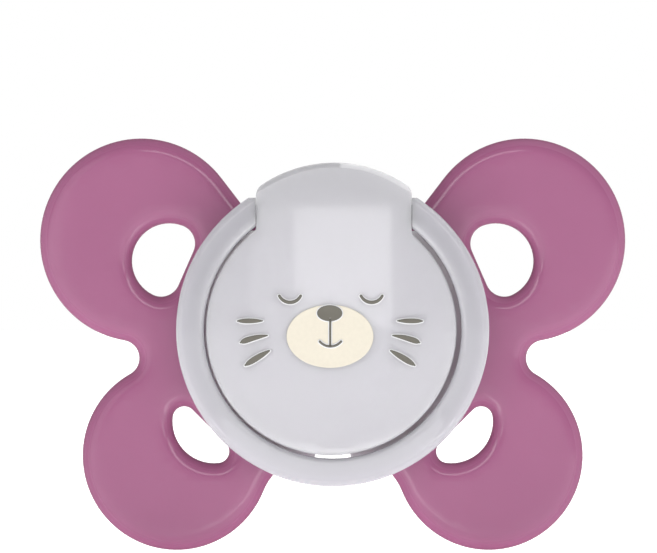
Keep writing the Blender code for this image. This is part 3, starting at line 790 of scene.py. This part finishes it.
def make_plug():
    """The cup that closes the teat's bore, with the disc that holds the teat's flange in its seat."""
    profile = [
        (0, PLUG_END),
        (PLUG_RADIUS - PLUG_CHAMFER, PLUG_END),
        (PLUG_RADIUS, PLUG_END - PLUG_CHAMFER),
        (PLUG_RADIUS, PLUG_DISC_BACK),
        (PLUG_DISC_RADIUS, PLUG_DISC_BACK),
        (PLUG_DISC_RADIUS, PLUG_DISC_FRONT),
        (PLUG_BORE, PLUG_DISC_FRONT),
        (PLUG_BORE, PLUG_BORE_END),
        (0, PLUG_BORE_END),
    ]
    skin = Skin()
    skin.turn(softened(profile, HIDDEN_ROUND))
    material = milky_plastic("plug_plastic", PLUG_WHITE, 0.30)
    dressed(skin.finished("plug_body"), material, "plug", "pacifier", "teat_plug")


# --- knob -----------------------------------------------------------------------------------------


def dome(x, z):
    """How far the crowned front lies behind the middle of the face."""
    return (x * x + z * z) / (2 * CROWN_RADIUS)


def make_cover(plastic):
    """The domed face. Its front edge is a round, smaller on the tab's sides, and a bevel on the tab's top."""
    skin = Skin()
    outline = knob_outline()
    bevel = softened(TAB_BEVEL, TAB_BEVEL_ROUND)
    loops = []
    for (round_in, round_back), (bevel_in, bevel_back) in zip(quarter(0, 0, 1, steps=len(bevel) - 1), bevel):
        rows = []
        for x, z, way_x, way_z in outline:
            on_tab = ease((z - TAB_EDGE_Z) / TAB_EDGE_BLEND)
            on_top = ease((z - TAB_BEVEL_Z) / TAB_BEVEL_BLEND)
            radius = FACE_EDGE - (FACE_EDGE - TAB_EDGE) * on_tab
            inset = radius * round_in * (1 - on_top) + bevel_in * on_top
            depth = radius * round_back * (1 - on_top) + bevel_back * on_top
            x, z = x - inset * way_x, z - inset * way_z
            rows.append((x, dome(x, z) + depth, z))
        loops.append(skin.loop(rows))
    rim, back = skin.band(outline, quarter(0, COVER_BACK, COVER_BACK_EDGE, False, 3))
    loops.append(rim)
    for a, b in zip(loops, loops[1:]):
        skin.bridge(a, b)
    skin.fill([loops[0]], dome)
    bore = SPIGOT_BORE - SPIGOT_RADIUS
    wall = [
        (0, COVER_BACK),
        (0, SPIGOT_BACK - HIDDEN_CHAMFER),
        (-HIDDEN_CHAMFER, SPIGOT_BACK),
        (bore + HIDDEN_CHAMFER, SPIGOT_BACK),
        (bore, SPIGOT_BACK - HIDDEN_CHAMFER),
        (bore, COVER_BACK),
    ]
    outer, inner = skin.band(circle(SPIGOT_RADIUS), wall)
    skin.fill([back, outer], lambda x, z: COVER_BACK)
    skin.fill([inner], lambda x, z: COVER_BACK, HIDDEN_CELL)
    dressed(skin.finished("knob_face_cap"), plastic, "knob", "pacifier", "knob_cover")


def make_base(plastic):
    """The knob's back, with a recess for the spigot, a neck, the ledges behind the ring and the bearings."""
    skin = Skin()
    edges = quarter(0, BASE_FRONT, BASE_EDGE) + quarter(0, BASE_BACK, BASE_EDGE, False)
    front, back = skin.band(knob_outline(), edges)
    rim, web = skin.band(circle(RECESS_RADIUS), [(0, BASE_FRONT), (0, WEB_FRONT)])
    skin.fill([front, rim], lambda x, z: BASE_FRONT)
    skin.fill([web], lambda x, z: WEB_FRONT, HIDDEN_CELL)
    wall = [
        (NECK_RADIUS, BASE_BACK),
        (NECK_RADIUS, NECK_BACK - HIDDEN_CHAMFER),
        (NECK_RADIUS - HIDDEN_CHAMFER, NECK_BACK),
        (NECK_BORE + NECK_BORE_CHAMFER, NECK_BACK),
        (NECK_BORE, NECK_BACK - NECK_BORE_CHAMFER),
        *snap_bead(NECK_BORE),
        (NECK_BORE, WEB_BACK),
    ]
    foot, floor = skin.band(circle(NECK_RADIUS), [(r - NECK_RADIUS, depth) for r, depth in wall])
    skin.fill([back, foot], lambda x, z: BASE_BACK)
    skin.fill([floor], lambda x, z: WEB_BACK, HIDDEN_CELL)
    base = skin.finished("knob_rear")
    key = block("key", (-KEY_HALF_WIDTH, KEY_FRONT, KEY_LOW_Z), (KEY_HALF_WIDTH, KEY_BACK, KEY_HIGH_Z))
    outer_top, inner_top = (math.degrees(math.asin(LEDGE_TOP_Z / r)) for r in (LEDGE_REACH, LEDGE_ROOT))
    sector = joined(
        arc((0, 0), LEDGE_REACH, outer_top, LEDGE_END_DEG), arc((0, 0), LEDGE_ROOT, LEDGE_END_DEG, inner_top)
    )
    steps = [("UNION", key)]
    for side in (1, -1):
        steps.append(("UNION", prism(f"ledge_{side}", on_side(sector, side), LEDGE_FRONT, LEDGE_BACK)))
    for side in (1, -1):
        end_x, mouth_x = side * BEARING_END_X, side * BEARING_MOUTH_X
        bearing = cross_rod(f"bearing_{side}", BEARING_RADIUS, end_x, mouth_x, BEARING_CHAMFER)
        steps.append(("DIFFERENCE", bearing))
    dressed(combined(base, steps), plastic, "knob", "pacifier", "knob_base")


# --- ring handle ----------------------------------------------------------------------------------


def ring_section():
    """Rows of (radius, depth, normal radius, normal depth) round the ring's section."""
    small, large = RING_INNER_ROUND, RING_OUTER_ROUND
    inner, outer = RING_INNER + small, RING_OUTER - large
    front_inner, front_outer = dome(RING_INNER, 0) + small, dome(RING_OUTER, 0) + large
    rows = joined(
        arc((outer, RING_BACK - large), large, 90, 0, RING_SPACING),
        arc((outer, front_outer), large, 0, -90, RING_SPACING),
        arc((inner, front_inner), small, -90, -180, RING_SPACING),
        arc((inner, RING_BACK - small), small, 180, 90, RING_SPACING),
    )
    return joined(rows, [rows[0]])[:-1]


def make_ring(plastic):
    """The open ring. Each end reaches the tab with an ear, and turns on a trunnion in its bearing."""
    skin = Skin()
    right_tip, left_tip = TAB_HALF_WIDTH + TAB_X + EAR_GAP, TAB_HALF_WIDTH - TAB_X + EAR_GAP
    loops, section = [], ring_section()

    def section_loop(inset, from_tip, share):
        """A section at this share of the way round, between ends that lie from_tip past the ring's tips."""
        rows = []
        for radius, depth in section[:, :2] - inset * section[:, 2:]:
            start = math.asin((right_tip + from_tip) / radius)
            end = 2 * math.pi - math.asin((left_tip + from_tip) / radius)
            angle = start + share * (end - start)
            rows.append((radius * math.sin(angle), depth, radius * math.cos(angle)))
        loops.append(skin.loop(rows))

    end_roll = quarter(0, 0, RING_END_ROLL, steps=4)[:-1]
    for inset, from_tip in end_roll:
        section_loop(inset, from_tip, 0.0)
    for i in range(RING_STEPS + 1):
        section_loop(0.0, RING_END_ROLL, i / RING_STEPS)
    for inset, from_tip in reversed(end_roll):
        section_loop(inset, from_tip, 1.0)
    for a, b in zip(loops, loops[1:]):
        skin.bridge(a, b)
    skin.faces += [tuple(loops[0]), tuple(loops[-1])]
    shaping = []
    for side in (1, -1):
        low_x, high_x = sorted((side * CUT_X, side * RING_END_X))
        far_corner = (high_x, CUT_BACK, CUT_HIGH_Z)
        behind = block(f"behind_ear_{side}", (low_x, EAR_BACK, CUT_LOW_Z), far_corner)
        above = block(f"above_ear_{side}", (low_x, CUT_FRONT, EAR_TOP_Z), far_corner)
        tip_x, root_x = side * SHOULDER_TIP_X, side * SHOULDER_ROOT_X
        shoulder = cross_rod(f"shoulder_{side}", SHOULDER_RADIUS, tip_x, root_x, SHOULDER_CHAMFER)
        tip_x, root_x = side * TRUNNION_TIP_X, side * TRUNNION_ROOT_X
        trunnion = cross_rod(f"trunnion_{side}", TRUNNION_RADIUS, tip_x, root_x, TRUNNION_CHAMFER)
        shaping += [("DIFFERENCE", behind), ("DIFFERENCE", above), ("UNION", shoulder), ("UNION", trunnion)]
    ring = combined(skin.finished("ring_loop"), shaping)
    dressed(ring, plastic, "ring", "ring", "ring_handle")


# --- printed face ---------------------------------------------------------------------------------


def print_patch(skin, outline, lift):
    """A raised patch of ink on the dome. Its border stands twice as high as its middle, and is marked."""
    top = -2 * lift
    profile = [(0, INK_ROOT), (0, top + INK_SHOULDER), (INK_ROUND, top), (INK_BORDER, top)]
    rim, inner = skin.band(outline, profile, dome, [1, 1, 1, 0])
    skin.fill([inner], lambda x, z: dome(x, z) - lift, INK_CELL)
    skin.fill([rim], lambda x, z: dome(x, z) + INK_ROOT / 2, INK_ROOT_CELL)


def ellipse(centre, half_width, half_height, steps=72):
    """A closed outline, clockwise from its right end."""
    turns = np.linspace(0, -2 * math.pi, steps + 1)[:-1]
    points = np.stack([half_width * np.cos(turns), half_height * np.sin(turns)], axis=1)
    normals = np.stack([np.cos(turns) / half_width, np.sin(turns) / half_height], axis=1)
    normals /= np.linalg.norm(normals, axis=1)[:, None]
    return np.hstack([np.asarray(centre) + points, normals])


def stroke(path, width):
    """The outline of a round-ended line along a path. width may be a function of the share of its length."""
    path = np.asarray(path, float)
    ways = np.gradient(path, axis=0)
    ways /= np.linalg.norm(ways, axis=1)[:, None]
    left = np.stack([-ways[:, 1], ways[:, 0]], axis=1)
    shares = np.concatenate([[0], np.cumsum(np.linalg.norm(np.diff(path, axis=0), axis=1))])
    half = np.array([width(s) if callable(width) else width for s in shares / shares[-1]])[:, None] / 2
    last_deg, first_deg = bearing_deg((0, 0), left[-1]), bearing_deg((0, 0), -left[0])
    return joined(
        np.hstack([path + left * half, left]),
        arc(path[-1], half[-1, 0], last_deg, last_deg - 180, INK_CAP_SPACING),
        np.hstack([path - left * half, -left])[::-1],
        arc(path[0], half[0, 0], first_deg, first_deg - 180, INK_CAP_SPACING),
        spacing=INK_SPACING,
    )[:-1]


def leaf(outer, inner, width, fattest, tail, bow, side):
    """A whisker: a line that swells from its outer end to its fattest share and thins to its inner end."""
    points, blunt, taper = 36, 0.3, 2.2
    t = (1 - np.cos(np.linspace(0, math.pi, points)))[:, None] / 2
    path = np.asarray(outer) * (1 - t) + np.asarray(inner) * t
    path[:, 1] += bow * 4 * (t * (1 - t))[:, 0]
    path[:, 0] = PRINT_X + side * path[:, 0]

    def swell(share):
        if share < fattest:
            return width * max(blunt, math.sqrt(1 - (1 - share / fattest) ** 2))
        return width * (1 - (1 - tail) * ((share - fattest) / (1 - fattest)) ** taper)

    return stroke(path, swell)


def grown(outline, margin):
    """The outline moved out by a margin."""
    return np.hstack([outline[:, :2] + margin * outline[:, 2:], outline[:, 2:]])


def make_print():
    """A plain sleeping animal's face, in three layers: the muzzle, a pale backing and the dark features."""
    eyes = [
        stroke(
            arc((x, EYE_Z), EYE_RADIUS, *EYE_SPAN_DEG, 0.15)[:, :2],
            lambda share: EYE_WIDTH + EYE_SWELL * math.sin(math.pi * share),
        )
        for x in EYE_XS
    ]
    lip = stroke([(LIP_X, z) for z in np.linspace(LIP_TOP_Z, LIP_LOW_Z, 24)], LIP_WIDTH)
    mouth = stroke(arc(MOUTH_CENTRE, MOUTH_RADIUS, *MOUTH_SPAN_DEG, 0.1)[:, :2], MOUTH_WIDTH)
    whiskers = [leaf(*row, side) for side in (1, -1) for row in WHISKERS]
    features = [ellipse(*NOSE), lip, mouth, *eyes, *whiskers]
    layers = (
        ("print_muzzle", ink("ink_cream", CREAM_INK), [ellipse(*MUZZLE, 120)], 0.0),
        ("print_backing", ink("ink_white", WHITE_INK), features, BACKING_MARGIN),
        ("print_features", ink("ink_grey", GREY_INK), features, 0.0),
    )
    for (name, material, outlines, margin), lift in zip(layers, LAYER_LIFTS):
        skin = Skin()
        for outline in outlines:
            print_patch(skin, grown(outline, margin), lift)
        dressed(skin.finished(name, INK_SMOOTH_DEG), material, "knob_face", "pacifier")


# --- studio ---------------------------------------------------------------------------------------


def lamp(name, width, height, radiance):
    """A rectangular light with its size in metres and the same radiance all over."""
    light = bpy.data.lights.new(name, "AREA")
    light.shape = "RECTANGLE"
    light.size, light.size_y = width, height
    light.energy = radiance * math.pi * light.size * light.size_y
    obj = bpy.data.objects.new(name, light)
    bpy.context.scene.collection.objects.link(obj)
    return obj


def area_light(name, azimuth_deg, elevation_deg, distance, size_deg, radiance):
    """A light that faces the origin from this direction, with its size in degrees as seen from there."""
    azimuth, elevation = math.radians(azimuth_deg), math.radians(elevation_deg)
    level = math.cos(elevation)
    way = Vector((math.sin(azimuth) * level, -math.cos(azimuth) * level, math.sin(elevation)))
    width, height = (2 * distance * math.tan(math.radians(angle / 2)) for angle in size_deg)
    light = lamp(name, width, height, radiance)
    light.location = way * distance
    light.rotation_euler = way.to_track_quat("Z", "Y").to_euler()


def floor_card(name, near_y, far_y, width, radiance):
    """A light lying on the floor in front of the object, as a reflector card would."""
    light = lamp(name, width, near_y - far_y, radiance)
    light.location = (0, (near_y + far_y) / 2, cad_box[0].z)
    light.rotation_euler = (math.pi, 0, 0)
    light.visible_camera = False


def make_world():
    """A white backdrop for the camera, and a room that is brighter towards the floor and the back."""
    world = bpy.data.worlds.new("studio")
    world.use_nodes = True
    tree = world.node_tree
    tree.nodes.clear()

    def level(source, stops):
        """Grey levels along a direction's component, whose -1 to 1 is 0 to 1 for the stops."""
        span = tree.nodes.new("ShaderNodeMapRange")
        span.inputs["From Min"].default_value = -1
        ramp = tree.nodes.new("ShaderNodeValToRGB")
        while len(ramp.color_ramp.elements) < len(stops):
            ramp.color_ramp.elements.new(0.5)
        for point, (position, value) in zip(ramp.color_ramp.elements, stops):
            point.position, point.color = position, (value, value, value, 1)
        tree.links.new(source, span.inputs["Value"])
        tree.links.new(span.outputs["Result"], ramp.inputs["Fac"])
        return ramp.outputs["Color"]

    split = tree.nodes.new("ShaderNodeSeparateXYZ")
    tree.links.new(tree.nodes.new("ShaderNodeTexCoord").outputs["Generated"], split.inputs[0])
    total = tree.nodes.new("ShaderNodeMix")
    total.data_type, total.blend_type = "RGBA", "ADD"
    total.inputs[MIX_FACTOR].default_value = 1
    tree.links.new(level(split.outputs["Z"], ROOM_LEVELS), total.inputs[MIX_A])
    tree.links.new(level(split.outputs["Y"], REAR_LEVELS), total.inputs[MIX_B])
    around = tree.nodes.new("ShaderNodeBackground")
    backdrop = tree.nodes.new("ShaderNodeBackground")
    backdrop.inputs["Color"].default_value = (1, 1, 1, 1)
    path = tree.nodes.new("ShaderNodeLightPath")
    either = tree.nodes.new("ShaderNodeMixShader")
    out = tree.nodes.new("ShaderNodeOutputWorld")
    tree.links.new(total.outputs[MIX_RESULT], around.inputs["Color"])
    tree.links.new(path.outputs["Is Camera Ray"], either.inputs["Fac"])
    tree.links.new(around.outputs[0], either.inputs[1])
    tree.links.new(backdrop.outputs[0], either.inputs[2])
    tree.links.new(either.outputs[0], out.inputs["Surface"])
    bpy.context.scene.world = world


def make_floor():
    """A plain pale floor just under the object."""
    mesh = bpy.data.meshes.new("floor")
    corners = [(x * FLOOR_REACH, y * FLOOR_REACH) for x, y in ((-1, -1), (1, -1), (1, 1), (-1, 1))]
    mesh.from_pydata([(x, y, cad_box[0].z - FLOOR_GAP) for x, y in corners], [], [(0, 1, 2, 3)])
    floor = bpy.data.objects.new("floor", mesh)
    bpy.context.scene.collection.objects.link(floor)
    look = Look("floor_white")
    look.link(look.ramp(look.noise(3.0), (0.3, 0.90), (0.7, 0.92)), "Base Color")
    look.set(Roughness=0.9, Emission_Color=(1, 1, 1, 1), Emission_Strength=0.80)
    floor.data.materials.append(look.material)


def make_camera():
    """A long lens straight in front, which sees VIEW_WIDTH at VIEW_MIDDLE."""
    data = bpy.data.cameras.new("camera")
    data.sensor_width = SENSOR_WIDTH
    data.lens = SENSOR_WIDTH * CAMERA_DISTANCE / VIEW_WIDTH
    data.clip_end = 100
    camera = bpy.data.objects.new("camera", data)
    camera.location = Vector(VIEW_MIDDLE) - Vector((0, CAMERA_DISTANCE, 0))
    camera.rotation_euler = (math.radians(90), 0, 0)
    bpy.context.scene.collection.objects.link(camera)
    bpy.context.scene.camera = camera


make_camera()
make_world()
make_floor()
for row in LIGHTS:
    area_light(*row)
floor_card(*FLOOR_CARD)
bpy.context.scene.view_settings.view_transform = "Standard"
bpy.context.scene.view_settings.look = "None"

make_shield()
make_teat()
make_plug()
knob = milky_plastic("knob_plastic", KNOB_GREY)
make_cover(knob)
make_base(knob)
# painted shade: the ring gets a darker copy of the knob's grey
make_ring(milky_plastic("ring_plastic", RING_SHADED_GREY))
make_print()
